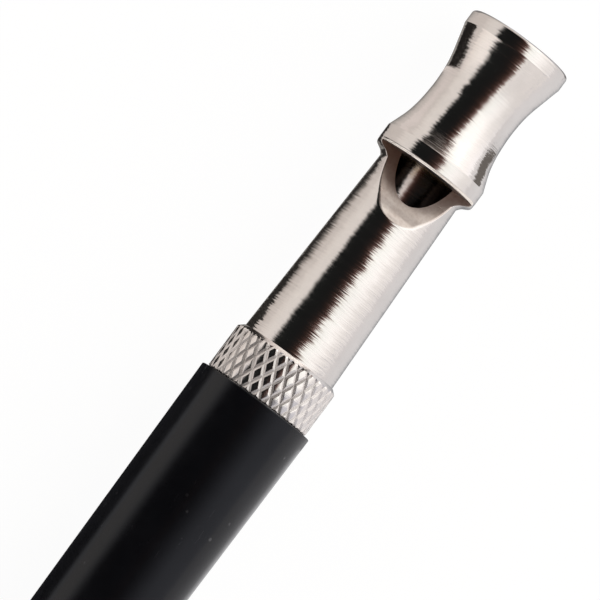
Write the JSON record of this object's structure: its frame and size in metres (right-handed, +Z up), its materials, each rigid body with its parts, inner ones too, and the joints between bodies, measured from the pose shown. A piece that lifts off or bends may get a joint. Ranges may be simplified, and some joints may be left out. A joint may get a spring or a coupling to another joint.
{
  "type": "screw-tuned whistle",
  "caption": "Slim metal whistle: waisted mouthpiece on a tapered tube with a scooped window, a diamond-knurled collar and a black screw-on sleeve over its tuning screw, with a split ring.",
  "frame": {"origin": "on the surface the whistle lies on, under the middle of its whole length, split ring included", "axes": "+X along the whistle's axis towards the mouth end, +Z up out of the surface and through the middle of the sound window, +Y across it"},
  "size_m": [0.0912, 0.0138, 0.009],
  "materials": {
    "nickel": "bright nickel plate with fine turning marks",
    "black_lacquer": "gloss black lacquer",
    "brass": "plain turned brass",
    "ring_steel": "bright plated spring steel"
  },
  "bodies": {
    "whistle_body": {"mouthpiece": "nickel", "windway_plug": "brass", "body_tube": "nickel", "knurled_collar": "nickel"},
    "tuning_piston": {"piston": "brass"},
    "tuning_screw": {"adjusting_screw": "brass"},
    "jam_nut": {"lock_nut": "brass"},
    "black_sleeve": {"sleeve": "black_lacquer", "tail_plug": "black_lacquer"},
    "key_ring": {"split_ring": "ring_steel"}
  },
  "joints": [
    {"name": "tuning_travel", "type": "slide", "parent": "whistle_body", "child": "tuning_piston", "axis": [1, 0, 0], "range_m": [-0.004, 0.0045]},
    {"name": "tuning_turn", "type": "hinge", "parent": "tuning_piston", "child": "tuning_screw", "pos_m": [0.01512, 0, 0.0045], "axis": [1, 0, 0], "range_deg": [-2059, 2316]},
    {"name": "lock_nut_turn", "type": "hinge", "parent": "whistle_body", "child": "jam_nut", "pos_m": [0.01012, 0, 0.0045], "axis": [1, 0, 0], "range_deg": [-360, 0]},
    {"name": "sleeve_off", "type": "slide", "parent": "whistle_body", "child": "black_sleeve", "axis": [-1, 0, 0], "range_m": [0, 0.03]},
    {"name": "ring_swing", "type": "hinge", "parent": "black_sleeve", "child": "key_ring", "pos_m": [-0.03258, 0, 0.0045], "axis": [0, 1, 0], "range_deg": [-135, 165]}
  ],
  "couplings": [
    {"joint": "tuning_turn", "follows": "tuning_travel", "rad_per_m": 8976}
  ]
}
